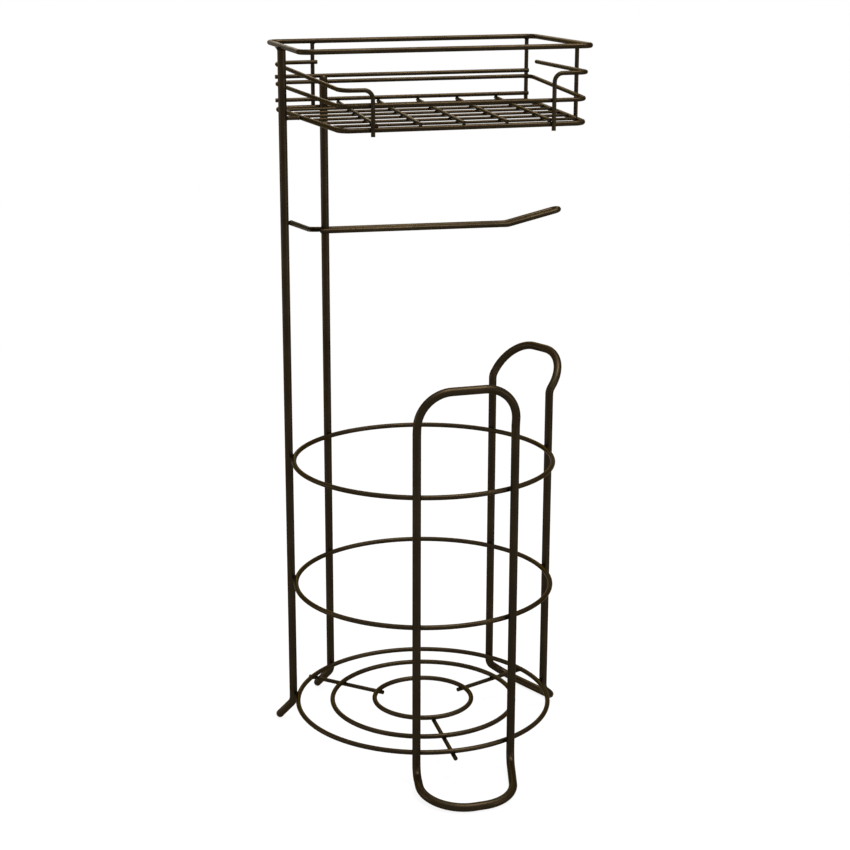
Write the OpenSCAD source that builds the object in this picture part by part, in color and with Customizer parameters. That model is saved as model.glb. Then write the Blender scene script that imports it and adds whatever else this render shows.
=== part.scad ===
// Free-standing toilet roll holder: a welded wire stand with a cage for spare
// rolls, an arm for the roll in use and a wire basket on top.
// Millimetres. +Z is up, the floor is z = 0 and the cage's axis is x = y = 0.
// The basket and the arm run along +X, and -Y is the front.

/* [Cage] */
// Radius of the cage rings, at the middle of the wire
ring_r = 80; // [60:1:110]
// Wire of the rings
ring_d = 3; // [2:0.1:4.5]
// Height of the base rings above the floor
base_ring_z = 18.5; // [17:0.5:30]
// Height of the middle cage ring
middle_ring_z = 98.5; // [70:0.5:120]
// Height of the upper cage ring
upper_ring_z = 178.5; // [150:0.5:200]
// Radius of the middle base ring
base_middle_r = 58; // [45:1:70]
// Radius of the inner base ring
base_inner_r = 31; // [20:1:40]
// Wire of the three spokes under the base rings
spoke_d = 2.6; // [1.8:0.1:4]
// Length of a spoke inside the inner ring
spoke_inner_end = 0.5; // [0:0.5:8]
// Length of a spoke outside the outer ring
spoke_outer_end = 3.5; // [1:0.5:8]
// Direction of the front spoke, from +X
front_spoke_dir = -90.5; // [-100:0.5:-80]
// Direction of the left spoke, from +X
left_spoke_dir = 138.5; // [130:0.5:150]

/* [Legs] */
// Wire of the legs and the uprights
leg_d = 5; // [4:0.1:7]
// Half of the angle between the front loop's legs, seen from the axis
front_half_angle = 21; // [16:0.5:24]
// Half of the angle between the rear loop's legs
rear_half_angle = 19; // [16:0.5:24]
// Half of the angle between the two uprights
upright_half_angle = 19; // [16:0.5:22]
// Direction of the front loop, from +X
front_dir = -85.5; // [-95:0.5:-80]
// Direction of the rear loop, from +X
rear_dir = 24.5; // [15:0.5:40]
// Direction of the pair of uprights, from +X
upright_dir = 143; // [138:0.5:150]
// Rise of the front loop's head above the upper cage ring
front_head_rise = 63; // [45:0.5:75]
// Rise of the rear loop's head above the upper cage ring
rear_head_rise = 57.5; // [45:0.5:75]
// How far the front loop's head leans out from its legs
front_head_lean = 3; // [2:1:18]
// How far the rear loop's head leans out from its legs
rear_head_lean = 16; // [2:1:18]
// Height of the bend below the front loop's head
front_head_drop = 24; // [22:1:34]
// Height of the bend below the rear loop's head
rear_head_drop = 21; // [18:1:34]
// Bend radius of the front head's two corners
front_head_bend_r = 20; // [10:1:22]
// Bend radius of the rear head's two corners
rear_head_bend_r = 22; // [10:1:27]
// How far the front loop's toe reaches out from its legs
front_toe_reach = 43; // [25:1:50]
// How far the front loop's toe is set to the left of its legs
front_toe_shift = 11; // [0:1:12]
// Set-in of each side of the front loop's toe from its leg
front_toe_set_in = 2.5; // [0:0.5:4]
// How far the rear loop's toe reaches out from its legs
rear_toe_reach = 12; // [10:1:40]
// Bend radius of the front toe's two corners
front_toe_bend_r = 25; // [10:1:28]
// Bend radius of the rear toe's two corners
rear_toe_bend_r = 26; // [8:1:28]
// Drop from the base rings to the bend of the front loop's legs
front_knee_drop = 12; // [8:0.5:12.5]
// Drop from the base rings to the bend of the rear loop's legs
rear_knee_drop = 6; // [5.5:0.5:9]
// How far the feet of the uprights turn out
foot_reach = 10; // [8:1:20]
// Drop from the base rings to the bend of the uprights' feet
foot_knee_drop = 5; // [4.5:0.5:9]
// Bend radius of the knees
knee_bend_r = 7; // [4:0.5:7]
// Drop from the rim to the top of the rear upright, which ends inside the basket
upright_rear_drop = 22; // [14:1:26]

/* [Roll arm] */
// Wire of the roll arm
arm_d = 3.2; // [2.6:0.1:4]
// Height of the arm
arm_z = 312; // [285:1:340]
// Reach of the level part of the arm from the rear upright
arm_run = 119; // [105:1:145]
// Length of the raised tip
arm_tip_run = 35; // [20:1:45]
// Rise of the tip
arm_tip_rise = 8.5; // [4:0.5:16]
// Rise of the brace from the arm to the front upright
arm_brace_rise = 12; // [0:1:18]

/* [Basket] */
// Length of the basket, from the front upright to the rim's right side
basket_l = 170; // [150:1:210]
// Depth of the basket between the outer faces of its lower wires
basket_depth = 113; // [96:1:140]
// How far the lower wires' front left corner is set in
left_set_in = 20; // [0:1:28]
// Height of the rim at the left
rim_z = 428; // [420:0.5:460]
// Wire of the rim
rim_d = 3; // [2.5:0.1:4]
// How much higher the right side of the basket is than its left side
basket_rise = 2; // [0:0.5:4]
// Height of the basket, from the bottom frame to the rim
basket_h = 40; // [36:0.5:60]
// Drop from the rim to the left side wire
left_wire_drop = 12.5; // [11:0.5:14]
// Drop from the rim to the right side wire
right_wire_drop = 15; // [11:0.5:16]
// Drop of the left side wire from the back to the front
left_wire_fall = 9; // [0:0.5:9]
// Drop of the middle loop from the back to the front
middle_loop_fall = 6; // [0:0.5:8]
// Drop of the basket floor from the back to the front
floor_fall = 4; // [0:0.5:8]
// Drop from the rim to the upper back rail
upper_rail_drop = 21; // [19:0.5:21.5]
// Drop from the rim to the middle loop
middle_loop_drop = 24.5; // [24:0.5:27]
// Wire of the bottom frame
frame_d = 3; // [2.5:0.1:4]
// Wire of the side wires, the loop, the rails and the posts
rail_d = 2.5; // [2:0.1:3]
// Corner radius of the rim
rim_corner_r = 7; // [5:0.5:15]
// Corner radius of the lower wires
loop_corner_r = 7; // [4:0.5:12]
// Bend radius of the two front posts
post_bend_r = 5; // [3:0.5:8]
// Place of the left front post from the rim's left side
front_post_left = 40.5; // [38:0.5:60]
// Place of the right front post from the rim's right side
front_post_right = 23; // [18:0.5:45]
// Place of the left back post from the rim's left side
back_post_left = 27.5; // [20:0.5:30]
// Place of the right back post from the rim's right side
back_post_right = 4.5; // [3:0.5:30]
// Place of the side post from the back of the rim
side_post_place = 86; // [30:1:95]
// Length of the front posts below the bottom frame
front_post_tail = 3.5; // [1:0.5:8]
// Distance from the back of the basket to the right side wire's free end
side_wire_gap = 14; // [6:1:20]

/* [Basket floor] */
// Wire of the rails along the floor
floor_rail_d = 1.8; // [1.2:0.1:2.6]
// Number of rails between the front and the back of the bottom frame
floor_rails = 6; // [3:1:6]
// Wire of the cross wires
cross_d = 2.2; // [1.6:0.1:3]
// Number of cross wires
cross_wires = 5; // [2:1:5]
// Distance between the cross wires
cross_pitch = 25.5; // [20:0.5:26]
// Place of the first cross wire from the rim's left side
cross_first = 43; // [38:0.5:50]

/* [Hidden] */
// Set-down of one wire into another at a weld
weld_bite = 0.1;
// A bend is this much thicker than its wire, so it closes over the straight ends
bend_swell = 0.04;
// Length of straight wire that each bend closes over
bend_lap = 0.25;
// Straight wire that is left beside a limited bend
bend_spare = 1;
// Half of the flat stretch at the arm's tip
arm_end_flat = 0.05;
// Inset of the cross wires' ends from the outside of the bottom frame
end_inset = 0.2;
wire_fn = 24;
bend_fn = 96;
coat = "#2b2318";
coat_light = "#3a3022";
coat_dark = "#211a11";

leg_r = ring_r + (ring_d + leg_d) / 2 - weld_bite;
toe_z = (leg_d + bend_swell) / 2;
front_knee_z = base_ring_z - front_knee_drop;
rear_knee_z = base_ring_z - rear_knee_drop;
foot_knee_z = base_ring_z - foot_knee_drop;
upright_rear_top_z = rim_z - upright_rear_drop;
bottom_z = rim_z - basket_h;
left_wire_z = rim_z - left_wire_drop;
right_wire_z = rim_z - right_wire_drop;
back_rail_z = rim_z - upper_rail_drop;
middle_loop_z = rim_z - middle_loop_drop;
spoke_z = base_ring_z - (ring_d + spoke_d) / 2 + weld_bite;

// Plan places of the two uprights
up_front = leg_r * [cos(upright_dir + upright_half_angle), sin(upright_dir + upright_half_angle)];
up_rear = leg_r * [cos(upright_dir - upright_half_angle), sin(upright_dir - upright_half_angle)];
foot_step = foot_reach * [cos(upright_dir), sin(upright_dir)];

// Faces of the box that the lower basket wires fill
rim_left = up_front[0];
rim_right = rim_left + basket_l;
post_step = rail_d / 2 - weld_bite;
box_right = rim_right - post_step;
box_left = rim_left + post_step;
box_back = up_rear[1] + leg_d / 2 + frame_d - weld_bite;
box_front = box_back - basket_depth;
rim_back = box_back + post_step;
rim_front = box_front - post_step;
cross_z = bottom_z + (frame_d + cross_d) / 2 - weld_bite;
floor_rail_z = cross_z - (cross_d + floor_rail_d) / 2 + weld_bite;
lower_rail_z = cross_z + (cross_d + rail_d) / 2 - weld_bite;
front_post_foot_z = bottom_z - front_post_tail;
back_post_x = rim_left + back_post_left;

arm_front_y = up_rear[1] - (leg_d + arm_d) / 2 + weld_bite;
arm_back_y = up_rear[1] + (leg_d + arm_d) / 2 - weld_bite;
arm_knee_x = up_rear[0] + arm_run;
// Bends of the arm, and its straight stretch behind the rear upright
arm_end_r = (arm_back_y - arm_front_y) / 2 - arm_end_flat;
arm_bend_r = 12;
arm_brace_r = 8;
arm_turn = 9;

// Bent wire: straight rods between points, with a round bend at each inner point
function unit(v) = v / norm(v);
function near(p, k) = p[(k + len(p)) % len(p)];
function turn(a, b, c) = acos(max(-1, min(1, unit(b - a) * unit(c - b))));
function is_end(p, k, closed) = !closed && (k == 0 || k == len(p) - 1);
function bend_cut(p, k, r) = r * tan(turn(near(p, k - 1), near(p, k), near(p, k + 1)) / 2);
function rod_inset(p, k, r, closed) = is_end(p, k, closed) ? 0 : bend_cut(p, k, r) - bend_lap;

module rod(a, b, d) {
    v = b - a;
    translate(a)
        rotate([0, acos(v[2] / norm(v)), atan2(v[1], v[0])])
            cylinder(h = norm(v), d = d, $fn = wire_fn);
}

module elbow(a, b, c, r, d) {
    along = unit(b - a);
    axis = unit(cross(along, unit(c - b)));
    inward = cross(axis, along);
    angle = turn(a, b, c);
    centre = b - along * r * tan(angle / 2) + inward * r;
    multmatrix([
        [-inward[0], along[0], axis[0], centre[0]],
        [-inward[1], along[1], axis[1], centre[1]],
        [-inward[2], along[2], axis[2], centre[2]],
        [0, 0, 0, 1]
    ])
        rotate_extrude(angle = angle, $fn = bend_fn)
            translate([r, 0])
                circle(d = d + bend_swell, $fn = wire_fn);
}

// r holds one bend radius for each point; the ends of an open wire ignore theirs
module wire(p, r, d, closed = false) {
    last = len(p) - 1;
    for (k = [0 : closed ? last : last - 1]) {
        a = p[k];
        b = near(p, k + 1);
        j = (k + 1) % len(p);
        step = unit(b - a);
        rod(a + step * rod_inset(p, k, r[k], closed), b - step * rod_inset(p, j, r[j], closed), d);
    }
    for (k = [closed ? 0 : 1 : closed ? last : last - 1])
        elbow(near(p, k - 1), p[k], near(p, k + 1), r[k], d);
}

module round_end(at, d) {
    translate(at)
        sphere(d = d + bend_swell, $fn = wire_fn);
}

module ring(r, d, z) {
    translate([0, 0, z])
        rotate_extrude($fn = bend_fn)
            translate([r, 0])
                circle(d = d, $fn = wire_fn);
}

// Largest bend radius for the corner at the end of a slope that starts with a knee
function corner_room(out, drop) = norm([out, drop]) - knee_bend_r * tan(atan2(out, drop) / 2) - bend_spare;

// Closed loop of wire whose two legs stand against the cage rings
module leg_loop(
    dir, half_angle, head_rise, head_drop, head_lean, head_bend_r,
    toe_reach, toe_shift, toe_set_in, toe_bend_r, knee_z
) {
    off = leg_r * cos(half_angle);
    half = leg_r * sin(half_angle);
    head_z = upper_ring_z + head_rise;
    shoulder_z = head_z - head_drop;
    head = off + head_lean;
    toe = off + toe_reach;
    toe_half = half - toe_set_in;
    toe_r = min(toe_bend_r, toe_half - bend_spare, corner_room(toe_reach, knee_z - toe_z));
    head_r = min(head_bend_r, half - bend_spare, corner_room(head_lean, head_drop));
    p = [
        [toe, -toe_half - toe_shift, toe_z],
        [toe, toe_half - toe_shift, toe_z],
        [off, half, knee_z],
        [off, half, shoulder_z],
        [head, half, head_z],
        [head, -half, head_z],
        [off, -half, shoulder_z],
        [off, -half, knee_z]
    ];
    r = [toe_r, toe_r, knee_bend_r, knee_bend_r, head_r, head_r, knee_bend_r, knee_bend_r];
    rotate([0, 0, dir])
        wire(p, r, leg_d, true);
}

module upright(at, top_z) {
    foot = [at[0] + foot_step[0], at[1] + foot_step[1], toe_z];
    wire([foot, [at[0], at[1], foot_knee_z], [at[0], at[1], top_z]], [0, knee_bend_r, 0], leg_d);
    round_end(foot, leg_d);
}

module spoke(dir) {
    from = base_inner_r - ring_d / 2 - spoke_inner_end;
    to = ring_r + ring_d / 2 + spoke_outer_end;
    rotate([0, 0, dir])
        translate([from, 0, spoke_z])
            rotate([0, 90, 0])
                cylinder(h = to - from, d = spoke_d, $fn = wire_fn);
}

module upright_front() {
    color(coat) upright(up_front, rim_z - rim_d / 2 + weld_bite);
}

module upright_rear() {
    color(coat) {
        upright(up_rear, upright_rear_top_z);
        round_end([up_rear[0], up_rear[1], upright_rear_top_z], leg_d);
    }
}

module front_loop() {
    color(coat)
        leg_loop(
            front_dir, front_half_angle,
            front_head_rise, front_head_drop, front_head_lean, front_head_bend_r,
            front_toe_reach, front_toe_shift, front_toe_set_in, front_toe_bend_r, front_knee_z
        );
}

module rear_loop() {
    color(coat)
        leg_loop(
            rear_dir, rear_half_angle,
            rear_head_rise, rear_head_drop, rear_head_lean, rear_head_bend_r,
            rear_toe_reach, 0, 0, rear_toe_bend_r, rear_knee_z
        );
}

module cage_ring_upper() {
    color(coat_light) ring(ring_r, ring_d, upper_ring_z);
}

module cage_ring_middle() {
    color(coat_light) ring(ring_r, ring_d, middle_ring_z);
}

module base_ring_outer() {
    color(coat_light) ring(ring_r, ring_d, base_ring_z);
}

module base_ring_middle() {
    color(coat_light) ring(base_middle_r, ring_d, base_ring_z);
}

module base_ring_inner() {
    color(coat_light) ring(base_inner_r, ring_d, base_ring_z);
}

module base_spoke_front() {
    color(coat_dark) spoke(front_spoke_dir);
}

module base_spoke_rear() {
    color(coat_dark) spoke(rear_dir);
}

module base_spoke_left() {
    color(coat_dark) spoke(left_spoke_dir);
}

// Hairpin of wire that straddles the rear upright, braced to the front upright
module roll_arm() {
    brace_end = [up_front[0] + (leg_d + arm_d) / 2 - weld_bite, up_front[1], arm_z + arm_brace_rise];
    tip_x = arm_knee_x + arm_tip_run;
    tip_z = arm_z + arm_tip_rise;
    p = [
        [up_rear[0] - leg_d / 2, arm_front_y, arm_z],
        [arm_knee_x, arm_front_y, arm_z],
        [tip_x, arm_front_y, tip_z],
        [tip_x, arm_back_y, tip_z],
        [arm_knee_x, arm_back_y, arm_z],
        [up_rear[0] - arm_turn, arm_back_y, arm_z],
        brace_end
    ];
    r = [0, arm_bend_r, arm_end_r, arm_end_r, arm_bend_r, arm_brace_r, 0];
    color(coat) {
        wire(p, r, arm_d);
        round_end(p[0], arm_d);
        round_end(brace_end, arm_d);
    }
}

// Share of the way from the back of the box to its front
function way(y) = (box_back - y) / basket_depth;

// Point of a basket wire: z is its height at the back left corner, fall its drop to the front
function hung(x, y, z, fall = 0) = [x, y, z + basket_rise * (x - rim_left) / basket_l - fall * way(y)];

// Corners of the lower wires of diameter d, whose outer faces lie on the box
function left_x(y, d) = box_left + d / 2 + left_set_in * way(y);
function back_left(d, z, fall = 0) = hung(left_x(box_back - d / 2, d), box_back - d / 2, z, fall);
function front_left(d, z, fall = 0) = hung(left_x(box_front + d / 2, d), box_front + d / 2, z, fall);
function front_right(d, z, fall = 0) = hung(box_right - d / 2, box_front + d / 2, z, fall);
function back_right(d, z, fall = 0) = hung(box_right - d / 2, box_back - d / 2, z, fall);

module basket_rim() {
    p = [
        hung(rim_left, rim_back, rim_z), hung(rim_left, rim_front, rim_z),
        hung(rim_right, rim_front, rim_z), hung(rim_right, rim_back, rim_z)
    ];
    color(coat_light) wire(p, [for (q = p) rim_corner_r], rim_d, true);
}

module lower_loop(d, z, fall) {
    p = [
        back_left(d, z, fall), front_left(d, z, fall),
        front_right(d, z, fall), back_right(d, z, fall)
    ];
    wire(p, [for (q = p) loop_corner_r], d, true);
}

module basket_bottom_frame() {
    color(coat_light) lower_loop(frame_d, bottom_z, floor_fall);
}

module basket_middle_loop() {
    color(coat_light) lower_loop(rail_d, middle_loop_z, middle_loop_fall);
}

// Side wire at the upper level that turns down in front as a post
module basket_front_wire_left() {
    corner = back_left(rail_d, left_wire_z, left_wire_fall);
    turn_in = front_left(rail_d, left_wire_z, left_wire_fall) - [0, rail_d - weld_bite, 0];
    post_x = rim_left + front_post_left;
    p = [
        hung(back_post_x + rail_d, corner[1], left_wire_z, left_wire_fall),
        corner,
        turn_in,
        hung(post_x, turn_in[1], left_wire_z, left_wire_fall),
        hung(post_x, turn_in[1], front_post_foot_z, floor_fall)
    ];
    color(coat_light) wire(p, [0, loop_corner_r, loop_corner_r, post_bend_r, 0], rail_d);
}

module basket_front_wire_right() {
    turn_in = front_right(rail_d, right_wire_z) - [0, rail_d - weld_bite, 0];
    post_x = rim_right - front_post_right;
    rear = hung(turn_in[0], box_back - side_wire_gap, right_wire_z);
    p = [
        rear,
        turn_in,
        hung(post_x, turn_in[1], right_wire_z),
        hung(post_x, turn_in[1], front_post_foot_z, floor_fall)
    ];
    color(coat_light) {
        wire(p, [0, loop_corner_r, post_bend_r, 0], rail_d);
        round_end(rear, rail_d);
    }
}

module back_rail(z) {
    y = box_back - rail_d / 2;
    rod(hung(box_left + rail_d, y, z), hung(box_right - rail_d, y, z), rail_d);
}

module basket_back_rail_upper() {
    color(coat_light) back_rail(back_rail_z);
}

module basket_back_rail_lower() {
    color(coat_light) back_rail(lower_rail_z);
}

module post(x, y) {
    rod(hung(x, y, bottom_z - frame_d / 2, floor_fall), hung(x, y, rim_z - rim_d / 2 + weld_bite), rail_d);
}

module basket_back_post_left() {
    color(coat) post(back_post_x, rim_back);
}

module basket_back_post_right() {
    color(coat) post(rim_right - back_post_right, rim_back);
}

module basket_side_post() {
    color(coat) post(rim_right, rim_back - side_post_place);
}

// Short wire between the front upright and the bottom frame
module basket_stay() {
    y = up_front[1];
    from = up_front[0] + leg_d / 2 - weld_bite;
    to = left_x(y, frame_d) - frame_d / 2 + weld_bite;
    color(coat) rod(hung(from, y, bottom_z, floor_fall), hung(to, y, bottom_z, floor_fall), rail_d);
}

module floor_rail(k) {
    y = box_front + k * basket_depth / (floor_rails + 1);
    from = hung(left_x(y, frame_d) + frame_d / 2 - weld_bite, y, floor_rail_z, floor_fall);
    to = hung(box_right - frame_d + weld_bite, y, floor_rail_z, floor_fall);
    if (k <= floor_rails)
        color(coat_dark) rod(from, to, floor_rail_d);
}

// Cross wires rest on the front and the back of the bottom frame
module floor_cross_wire(k) {
    x = rim_left + cross_first + (k - 1) * cross_pitch;
    front = hung(x, box_front + end_inset, cross_z, floor_fall);
    back = hung(x, box_back - end_inset, cross_z, floor_fall);
    if (k <= cross_wires)
        color(coat_dark) rod(front, back, cross_d);
}

upright_front();
upright_rear();
front_loop();
rear_loop();
cage_ring_upper();
cage_ring_middle();
base_ring_outer();
base_ring_middle();
base_ring_inner();
base_spoke_front();
base_spoke_rear();
base_spoke_left();
roll_arm();
basket_rim();
basket_bottom_frame();
basket_middle_loop();
basket_front_wire_left();
basket_front_wire_right();
basket_back_rail_upper();
basket_back_rail_lower();
basket_back_post_left();
basket_back_post_right();
basket_side_post();
basket_stay();
floor_rail(1);  // floor_rail_1
floor_rail(2);  // floor_rail_2
floor_rail(3);  // floor_rail_3
floor_rail(4);  // floor_rail_4
floor_rail(5);  // floor_rail_5
floor_rail(6);  // floor_rail_6
floor_cross_wire(1);  // floor_cross_wire_1
floor_cross_wire(2);  // floor_cross_wire_2
floor_cross_wire(3);  // floor_cross_wire_3
floor_cross_wire(4);  // floor_cross_wire_4
floor_cross_wire(5);  // floor_cross_wire_5
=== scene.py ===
"""Looks of a free-standing toilet roll holder: coated wire with its weld beads, floor, light and camera."""
import math
from collections import namedtuple

import bmesh
import bpy
import numpy as np
from mathutils import Euler, Matrix, Vector, geometry, noise
from mathutils.bvhtree import BVHTree


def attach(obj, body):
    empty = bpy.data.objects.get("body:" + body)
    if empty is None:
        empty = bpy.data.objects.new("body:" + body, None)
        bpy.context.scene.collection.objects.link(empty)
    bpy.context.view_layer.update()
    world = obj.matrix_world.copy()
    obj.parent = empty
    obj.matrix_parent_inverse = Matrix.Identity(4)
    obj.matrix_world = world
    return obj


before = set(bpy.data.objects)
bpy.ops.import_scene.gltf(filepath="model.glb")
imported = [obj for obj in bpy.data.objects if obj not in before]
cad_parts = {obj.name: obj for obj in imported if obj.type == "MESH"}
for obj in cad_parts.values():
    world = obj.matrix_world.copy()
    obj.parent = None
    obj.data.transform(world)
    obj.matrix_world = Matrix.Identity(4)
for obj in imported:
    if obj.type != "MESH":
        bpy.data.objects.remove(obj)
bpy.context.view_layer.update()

# Camera at the photograph's viewing angle, angles in degrees
CAMERA_PLACE = (-0.2494, -1.0057, 0.4831)
CAMERA_PITCH = 74.7245
CAMERA_YAW = -13.979
CAMERA_ROLL = 0.15
CAMERA_LENS = 73.83
CAMERA_NEAR = 0.05
SENSOR = 36.0

# Colours of the coating and of the floor, linear
COAT_DARK = (0.0160, 0.0111, 0.0060)
COAT_MAIN = (0.0210, 0.0147, 0.0080)
COAT_WARM = (0.0290, 0.0206, 0.0113)
# Darker colours of the weld beads, linear: painted shade of the grooves where two wires meet
CREVICE_SHADE_DARK = (0.0070, 0.0049, 0.0028)
CREVICE_SHADE_MAIN = (0.0120, 0.0085, 0.0048)
EDGE_TINT = (0.523, 0.488, 0.438)
PAPER_WHITE = (0.93, 0.93, 0.925)
WHITE = (1.0, 1.0, 1.0, 1.0)

# Noise of the drawing lines, of the cloudy colour and of the orange peel: scale, detail, roughness
LINE_NOISE = (1500.0, 3.0, 0.6)
CLOUD_NOISE = (38.0, 4.0, 0.55)
PEEL_NOISE = (420.0, 2.0, 0.5)

# Shares of lines and clouds in the colour, and where its three colours sit on the ramp
LINE_SHARE = 0.35
CLOUD_SHARE = 0.65
RAMP_PLACES = (0.34, 0.50, 0.68)

# Stretch of the lines along a wire, the strength of their bump, and the depths of both bumps in metres
LINE_STRETCH = 0.03
LINE_STRENGTH = 0.2
LINE_DEPTH = 0.00004
PEEL_DEPTH = 0.0004

# Roughness, and strength of the orange peel, on the wires and on the welds
COAT_ROUGH = 0.40
COAT_PEEL = 0.05
WELD_ROUGH = 0.46
WELD_PEEL = 0.35

# How far the lines lower and raise the roughness, over this range of their noise
SMOOTHER = 0.05
ROUGHER = 0.07
LINE_RANGE = (0.3, 0.7)

# Cut ends and the seams of bends stay crisp from this angle on, in degrees
SHARP_ANGLE = 38.0

# Finding the welds: search distance, size of one weld, and the fewest crossing points that make one
NEAR = 0.004
WELD_SPAN = 0.008
LEAST_HITS = 3

# A bead in the groove between two wires: its height as a share of the thinner wire's radius, its
# longest reach and the step in which that is sought, its depth in the wires, and its narrower waist
BEAD_SHARE = 0.62
BEAD_REACH = 0.0034
REACH_STEP = 0.00005
BEAD_BED = 0.00015
BEAD_WAIST = 0.22
BEAD_STEPS = 28
BEAD_LAYERS = 6

# A bead round the end of a wire: flare at its foot and height, in that wire's radii, and how far it
# wraps the other wire, in the other's radii
COLLAR_FLARE = 1.5
COLLAR_RISE = 0.75
COLLAR_WRAP = 0.9

# A wire ends at a weld that lies this near its axis, in radii, if the cosine between the two wires is
# also below END_TURN. Two wires count as parallel while the sine between them is below PARALLEL.
END_OFFSET = 0.5
END_TURN = 0.7
PARALLEL = 0.3

# Unevenness of the beads
RIPPLE_SIZE = 0.25
RIPPLE_SCALE = 900.0
RIPPLE_TURN = 1.7

# Floor just under the feet. What the camera sees of it is GLOW_NEAR of white up to the first distance,
# and the rest paper with the shadow; from the second distance on it is all white.
FLOOR_SIZE = 400.0
FLOOR_DROP = 0.0003
GLOW_NEAR = 0.9
FADE_START = 0.25
FADE_END = 1.2

# Dome that lights the object from all sides
DOME_COLOUR = (0.55, 0.56, 0.58, 1.0)
DOME_STRENGTH = 0.6

# Softboxes: name, place, side in metres, power in watts
LAMP_TARGET = (0.0, 0.0, 0.22)
LAMPS = (
    ("ceiling", (0.1, -0.2, 2.0), 2.4, 40.0),
    ("key_above", (0.27, -0.30, 1.25), 0.45, 13.0),
    ("rim_behind", (0.1, 1.5, 1.15), 0.9, 11.0),
    ("strip_left", (-1.76, 0.37, 0.30), 0.55, 6.0),
    ("strip_right", (1.30, -1.25, 0.30), 0.55, 6.0),
)

# Wires whose longest run stands upright
STANDING = ("upright", "front_loop", "rear_loop", "basket_back_post", "basket_side_post")

# A stretch of round wire: direction, radius and a point of its axis
Wire = namedtuple("Wire", "axis radius middle")


def new_material(name):
    """A material with an empty node tree, and that tree."""
    material = bpy.data.materials.new(name)
    material.use_nodes = True
    tree = material.node_tree
    tree.nodes.clear()
    return material, tree


def add_node(tree, kind, **settings):
    """A node whose sockets and properties are set by name."""
    node = tree.nodes.new(kind)
    for key, value in settings.items():
        if key in node.inputs:
            node.inputs[key].default_value = value
        else:
            setattr(node, key, value)
    return node


def ramp(tree, source, stops):
    """A colour ramp with (place, colour) stops, fed by a socket."""
    node = tree.nodes.new("ShaderNodeValToRGB")
    elements = node.color_ramp.elements
    while len(elements) < len(stops):
        elements.new(0.5)
    for element, (place, colour) in zip(elements, stops):
        element.position = place
        element.color = (*colour, 1.0)
    tree.links.new(source, node.inputs["Fac"])
    return node.outputs["Color"]


def spread(tree, source, low, high, to_low, to_high):
    """Maps a socket's values from one range to another."""
    node = add_node(tree, "ShaderNodeMapRange")
    for place, value in zip((1, 2, 3, 4), (low, high, to_low, to_high)):
        node.inputs[place].default_value = value
    tree.links.new(source, node.inputs[0])
    return node.outputs[0]


def noise_of(tree, place, scale, detail, rough):
    """A noise value at a place that a socket gives."""
    node = add_node(tree, "ShaderNodeTexNoise", Scale=scale, Detail=detail, Roughness=rough)
    tree.links.new(place, node.inputs["Vector"])
    return node.outputs["Fac"]


def mix_shaders(tree, share, first, second):
    """Mix of two shaders, by a socket that gives the second one's share."""
    mix = add_node(tree, "ShaderNodeMixShader")
    tree.links.new(share, mix.inputs["Fac"])
    tree.links.new(first, mix.inputs[1])
    tree.links.new(second, mix.inputs[2])
    return mix.outputs["Shader"]


def bronze_coating(name, colours, stretch, rough, peel_strength):
    """Satin oil-rubbed bronze coating over drawn wire; stretch lays its drawing lines along the wire."""
    material, tree = new_material(name)
    place = add_node(tree, "ShaderNodeTexCoord").outputs["Object"]
    along = add_node(tree, "ShaderNodeMapping", Scale=stretch)
    tree.links.new(place, along.inputs["Vector"])
    lines = noise_of(tree, along.outputs["Vector"], *LINE_NOISE)
    cloud = noise_of(tree, place, *CLOUD_NOISE)
    mixed = add_node(tree, "ShaderNodeMath", operation="MULTIPLY_ADD")
    tree.links.new(lines, mixed.inputs[0])
    mixed.inputs[1].default_value = LINE_SHARE
    tree.links.new(spread(tree, cloud, 0.0, 1.0, 0.0, CLOUD_SHARE), mixed.inputs[2])
    colour = ramp(tree, mixed.outputs[0], list(zip(RAMP_PLACES, colours)))
    surface = add_node(tree, "ShaderNodeBsdfPrincipled")
    surface.inputs["Metallic"].default_value = 1.0
    surface.inputs["Specular Tint"].default_value = (*EDGE_TINT, 1.0)
    tree.links.new(colour, surface.inputs["Base Color"])
    roughness = spread(tree, lines, *LINE_RANGE, rough - SMOOTHER, rough + ROUGHER)
    tree.links.new(roughness, surface.inputs["Roughness"])
    drawn = add_node(tree, "ShaderNodeBump", Strength=LINE_STRENGTH, Distance=LINE_DEPTH)
    tree.links.new(lines, drawn.inputs["Height"])
    peel = add_node(tree, "ShaderNodeBump", Strength=peel_strength, Distance=PEEL_DEPTH)
    tree.links.new(noise_of(tree, place, *PEEL_NOISE), peel.inputs["Height"])
    tree.links.new(drawn.outputs["Normal"], peel.inputs["Normal"])
    tree.links.new(peel.outputs["Normal"], surface.inputs["Normal"])
    out = add_node(tree, "ShaderNodeOutputMaterial")
    tree.links.new(surface.outputs["BSDF"], out.inputs["Surface"])
    return material


def coat_the_wires():
    """Gives each CAD wire the coating, with its drawing lines along the wire's main direction."""
    coat = (COAT_DARK, COAT_MAIN, COAT_WARM)
    upward = (1.0, 1.0, LINE_STRETCH)
    level = (LINE_STRETCH, LINE_STRETCH, 1.0)
    standing = bronze_coating("coating_standing_wire", coat, upward, COAT_ROUGH, COAT_PEEL)
    lying = bronze_coating("coating_lying_wire", coat, level, COAT_ROUGH, COAT_PEEL)
    for name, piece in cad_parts.items():
        piece.data.materials.clear()
        piece.data.materials.append(standing if name.startswith(STANDING) else lying)
        for face in piece.data.polygons:
            face.use_smooth = True
        piece.data.set_sharp_from_angle(angle=math.radians(SHARP_ANGLE))


def skin_of(piece):
    """Triangles of a wire with their areas, and a search tree over them."""
    mesh = piece.data
    mesh.calc_loop_triangles()
    points = [v.co.copy() for v in mesh.vertices]
    faces = [tuple(t.vertices) for t in mesh.loop_triangles]
    areas = [t.area for t in mesh.loop_triangles]
    return {"points": points, "faces": faces, "areas": areas, "tree": BVHTree.FromPolygons(points, faces)}


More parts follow.
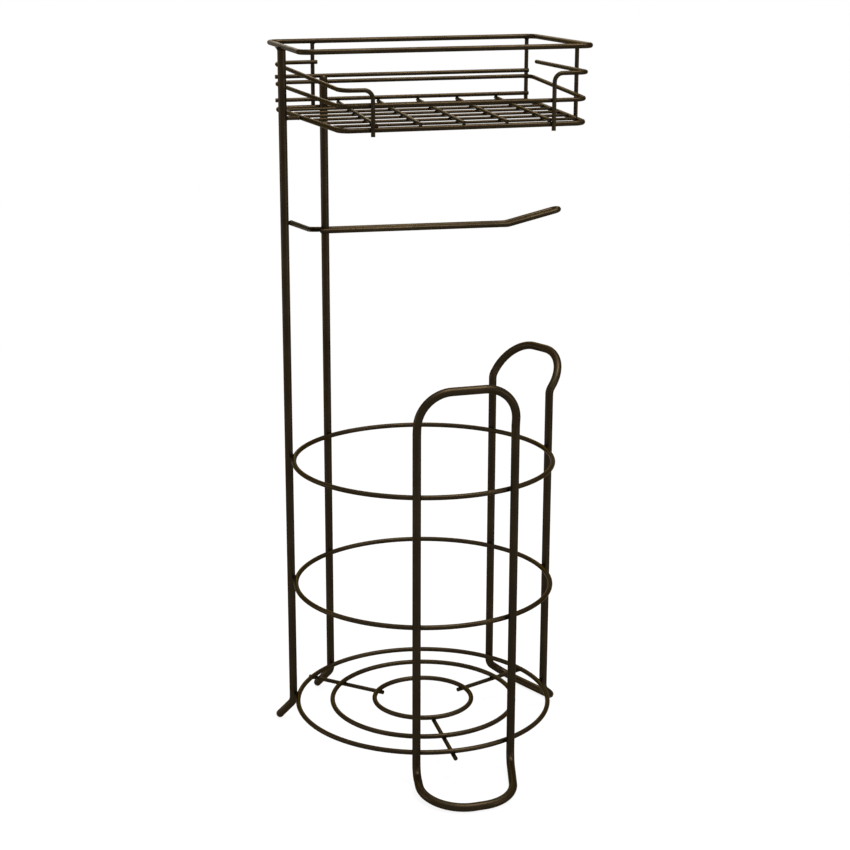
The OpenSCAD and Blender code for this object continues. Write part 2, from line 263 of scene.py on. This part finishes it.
def edge_hits(skin, face, other, other_face):
    """Points where the edges of one triangle pass through another."""
    corners = [skin["points"][k] for k in skin["faces"][face]]
    target = [other["points"][k] for k in other["faces"][other_face]]
    hits = []
    for start, end in zip(corners, corners[1:] + corners[:1]):
        edge = end - start
        hit = geometry.intersect_ray_tri(*target, edge, start, True)
        if hit is not None and 0.0 <= (hit - start).dot(edge) <= edge.length_squared:
            hits.append(hit)
    return hits


def weld_places(skin, other):
    """Middles of the places where two wires bite into each other."""
    groups = []
    for face, other_face in skin["tree"].overlap(other["tree"]):
        hits = edge_hits(skin, face, other, other_face) + edge_hits(other, other_face, skin, face)
        for hit in hits:
            near = [g for g in groups if (g[0] - hit).length < WELD_SPAN]
            if near:
                near[0].append(hit)
            else:
                groups.append([hit])
    return [sum(g, Vector()) / len(g) for g in groups if len(g) >= LEAST_HITS]


def wire_at(skin, place):
    """The stretch of wire near a place, fitted to its surface."""
    hits = skin["tree"].find_nearest_range(place, NEAR)
    points = np.array([h[0] for h in hits])
    normals = np.array([h[1] for h in hits])
    weights = np.array([skin["areas"][h[2]] for h in hits])[:, None]
    axis = np.linalg.eigh((normals * weights).T @ normals)[1][:, 0]
    flat_points = points - np.outer(points @ axis, axis)
    flat_normals = normals - np.outer(normals @ axis, axis)
    point_offset = flat_points - (flat_points * weights).sum(0) / weights.sum()
    normal_offset = flat_normals - (flat_normals * weights).sum(0) / weights.sum()
    radius = (point_offset * normal_offset * weights).sum() / (normal_offset ** 2 * weights).sum()
    middle = ((points - radius * normals) * weights).sum(0) / weights.sum()
    return Wire(Vector(axis), float(radius), Vector(middle))


def sag(radius, offset):
    """How far a round wire's surface falls away at an offset from its highest line."""
    return radius - math.sqrt(max(radius * radius - offset * offset, 0.0))


def ripple(place, direction):
    """Uneven factor on a bead's size, near 1."""
    return 1.0 + RIPPLE_SIZE * noise.noise(place * RIPPLE_SCALE + direction * RIPPLE_TURN)


def fillet_rings(place, normal, first, second):
    """Rings of a bead in the groove between two crossing wires, from one wire to the other."""
    side = normal.cross(first.axis).normalized()
    along = side.cross(normal)
    limit = BEAD_SHARE * min(first.radius, second.radius)
    rings = [[] for _ in range(BEAD_LAYERS)]
    for step in range(BEAD_STEPS):
        angle = 2.0 * math.pi * step / BEAD_STEPS
        out = along * math.cos(angle) + side * math.sin(angle)
        off_first = out.cross(first.axis).length
        off_second = out.cross(second.axis).length
        reach = 0.0
        while reach < BEAD_REACH:
            if sag(first.radius, reach * off_first) + sag(second.radius, reach * off_second) > limit:
                break
            reach += REACH_STEP
        reach *= ripple(place, out)
        low = -sag(first.radius, min(reach * off_first, first.radius)) - BEAD_BED
        high = sag(second.radius, min(reach * off_second, second.radius)) + BEAD_BED
        for layer, ring in enumerate(rings):
            share = layer / (BEAD_LAYERS - 1)
            waist = 1.0 - BEAD_WAIST * 4.0 * share * (1.0 - share)
            ring.append(place + out * reach * waist + normal * (low + (high - low) * share))
    return rings


def collar_rings(place, rise, ended, side_wire):
    """Rings of a bead round the end of a wire that butts against another, from the other wire up."""
    across = side_wire.axis.cross(rise).normalized()
    along = across.cross(rise)
    rings = [[] for _ in range(BEAD_LAYERS)]
    for step in range(BEAD_STEPS):
        angle = 2.0 * math.pi * step / BEAD_STEPS
        out = along * math.cos(angle) + across * math.sin(angle)
        uneven = ripple(place, out)
        for layer, ring in enumerate(rings):
            share = layer / (BEAD_LAYERS - 1)
            flare = 1.0 + (COLLAR_FLARE * uneven - 1.0) * (1.0 - share) ** 2
            reach = ended.radius * flare - BEAD_BED * share
            offset = min(reach * abs(math.sin(angle)), COLLAR_WRAP * side_wire.radius)
            drop = sag(side_wire.radius, offset) + BEAD_BED
            height = -drop * (1.0 - share) + COLLAR_RISE * ended.radius * share * uneven
            ring.append(place + out * reach + rise * height)
    return rings


def ends_at(wire, other, place):
    """Whether a wire ends at a weld, end on to the other wire."""
    away = place - wire.middle
    across = away - wire.axis * away.dot(wire.axis)
    return across.length < END_OFFSET * wire.radius and abs(wire.axis.dot(other.axis)) < END_TURN


def bead_rings(place, first, second):
    """Rings of the weld bead between two wires that meet at a place."""
    for ended, side_wire in ((first, second), (second, first)):
        if ends_at(ended, side_wire, place):
            rise = ended.axis if (ended.middle - place).dot(ended.axis) > 0.0 else -ended.axis
            return collar_rings(place, rise, ended, side_wire)
    apart = second.middle - first.middle
    normal = first.axis.cross(second.axis)
    if normal.length < PARALLEL:
        normal = apart - first.axis * apart.dot(first.axis)
    normal.normalize()
    if normal.dot(apart) < 0.0:
        normal.negate()
    return fillet_rings(place, normal, first, second)


def add_bead(points, faces, rings):
    """Adds a closed bead to lists of points and faces."""
    start = len(points)
    for ring in rings:
        points.extend(ring)
    for layer in range(len(rings) - 1):
        for step in range(BEAD_STEPS):
            after = (step + 1) % BEAD_STEPS
            low = start + layer * BEAD_STEPS
            high = low + BEAD_STEPS
            faces.append((low + step, low + after, high + after, high + step))
    for ring, base in ((rings[0], start), (rings[-1], start + (len(rings) - 1) * BEAD_STEPS)):
        points.append(sum(ring, Vector()) / BEAD_STEPS)
        centre = len(points) - 1
        for step in range(BEAD_STEPS):
            faces.append((centre, base + step, base + (step + 1) % BEAD_STEPS))


def region_of(name, other):
    """The part of the stand that a weld between two wires belongs to."""
    pair = (name, other)
    if "roll_arm" in pair:
        return "arm"
    if any(n.startswith("floor_") for n in pair):
        return "basket_floor"
    if any(n.startswith("basket_") for n in pair):
        return "basket"
    if any(n.startswith("base_") for n in pair):
        return "base"
    return "cage"


def fix_normals(mesh):
    """Turns all faces outward and shades them smooth."""
    shape = bmesh.new()
    shape.from_mesh(mesh)
    bmesh.ops.recalc_face_normals(shape, faces=shape.faces)
    for face in shape.faces:
        face.smooth = True
    shape.to_mesh(mesh)
    shape.free()


def make_weld_beads():
    """A bead of weld under the coating wherever two wires meet, one piece for each part of the stand; the
    beads are coloured darker than the wires as painted shade in the grooves between them.
    """
    # The beads' darker colours are painted crevice shade between the wires, not a colour of the coating
    colours = (CREVICE_SHADE_DARK, CREVICE_SHADE_MAIN, COAT_MAIN)
    bead_coat_painted_shade = bronze_coating("coating_over_weld_painted_shade", colours, (1.0, 1.0, 1.0), WELD_ROUGH, WELD_PEEL)
    skins = {name: skin_of(piece) for name, piece in sorted(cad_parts.items())}
    names = list(skins)
    regions = {}
    for index, name in enumerate(names):
        for other in names[index + 1:]:
            points, faces = regions.setdefault(region_of(name, other), ([], []))
            for place in weld_places(skins[name], skins[other]):
                first = wire_at(skins[name], place)
                second = wire_at(skins[other], place)
                add_bead(points, faces, bead_rings(place, first, second))
    for region, (points, faces) in sorted(regions.items()):
        if not faces:
            continue
        mesh = bpy.data.meshes.new("weld_beads_" + region)
        mesh.from_pydata([tuple(p) for p in points], [], faces)
        mesh.validate()
        mesh.update()
        fix_normals(mesh)
        piece = bpy.data.objects.new("weld_beads_" + region, mesh)
        bpy.context.scene.collection.objects.link(piece)
        mesh.materials.append(bead_coat_painted_shade)
        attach(piece, "root")


def background_rays(tree):
    """1 for the rays that see the background: from the camera, from gloss and through glass."""
    path = add_node(tree, "ShaderNodeLightPath")
    seen = path.outputs["Is Camera Ray"]
    for kind in ("Is Glossy Ray", "Is Transmission Ray"):
        either = add_node(tree, "ShaderNodeMath", operation="MAXIMUM")
        tree.links.new(seen, either.inputs[0])
        tree.links.new(path.outputs[kind], either.inputs[1])
        seen = either.outputs[0]
    return seen


def backdrop_material():
    """Pale floor: it keeps the shadow near the object, and shows white to the camera and in reflections."""
    material, tree = new_material("pale_floor")
    paper = add_node(tree, "ShaderNodeBsdfDiffuse", Color=(*PAPER_WHITE, 1.0))
    white = add_node(tree, "ShaderNodeEmission", Color=WHITE, Strength=1.0)
    place = add_node(tree, "ShaderNodeTexCoord").outputs["Object"]
    away = add_node(tree, "ShaderNodeVectorMath", operation="LENGTH")
    tree.links.new(place, away.inputs[0])
    glow = spread(tree, away.outputs["Value"], FADE_START, FADE_END, GLOW_NEAR, 1.0)
    share = add_node(tree, "ShaderNodeMath", operation="MULTIPLY")
    tree.links.new(background_rays(tree), share.inputs[0])
    tree.links.new(glow, share.inputs[1])
    mixed = mix_shaders(tree, share.outputs[0], paper.outputs["BSDF"], white.outputs["Emission"])
    out = add_node(tree, "ShaderNodeOutputMaterial")
    tree.links.new(mixed, out.inputs["Surface"])
    return material


def make_floor():
    """A wide pale floor just under the feet."""
    bpy.ops.mesh.primitive_plane_add(size=FLOOR_SIZE, location=(0.0, 0.0, -FLOOR_DROP))
    floor = bpy.context.object
    floor.name = "studio_floor"
    floor.data.materials.append(backdrop_material())


def make_world():
    """White to the camera and in reflections, a soft grey dome for the light."""
    world = bpy.data.worlds.new("studio")
    bpy.context.scene.world = world
    world.use_nodes = True
    tree = world.node_tree
    tree.nodes.clear()
    dome = add_node(tree, "ShaderNodeBackground", Color=DOME_COLOUR, Strength=DOME_STRENGTH)
    white = add_node(tree, "ShaderNodeBackground", Color=WHITE)
    sky = (dome.outputs["Background"], white.outputs["Background"])
    out = add_node(tree, "ShaderNodeOutputWorld")
    tree.links.new(mix_shaders(tree, background_rays(tree), *sky), out.inputs["Surface"])


def softbox(name, place, size, power):
    """A square area lamp that faces the object."""
    light = bpy.data.lights.new(name, "AREA")
    light.shape = "SQUARE"
    light.size = size
    light.energy = power
    lamp = bpy.data.objects.new(name, light)
    bpy.context.scene.collection.objects.link(lamp)
    lamp.location = place
    aim = Vector(LAMP_TARGET) - Vector(place)
    lamp.rotation_euler = aim.to_track_quat("-Z", "Y").to_euler()


def make_lights():
    """Lamps above and behind for the lying wires, and a low one on each side for the standing wires."""
    for lamp in LAMPS:
        softbox(*lamp)


def make_camera():
    """The camera of the photograph."""
    data = bpy.data.cameras.new("camera")
    data.sensor_width = SENSOR
    data.lens = CAMERA_LENS
    data.clip_start = CAMERA_NEAR
    data.clip_end = FLOOR_SIZE
    camera = bpy.data.objects.new("camera", data)
    bpy.context.scene.collection.objects.link(camera)
    camera.location = CAMERA_PLACE
    level = Euler((math.radians(CAMERA_PITCH), 0.0, math.radians(CAMERA_YAW))).to_matrix()
    camera.rotation_euler = (level @ Matrix.Rotation(math.radians(CAMERA_ROLL), 3, "Z")).to_euler()
    bpy.context.scene.camera = camera


make_camera()
make_world()
make_floor()
make_lights()
coat_the_wires()
make_weld_beads()
bpy.context.scene.view_settings.view_transform = "Standard"
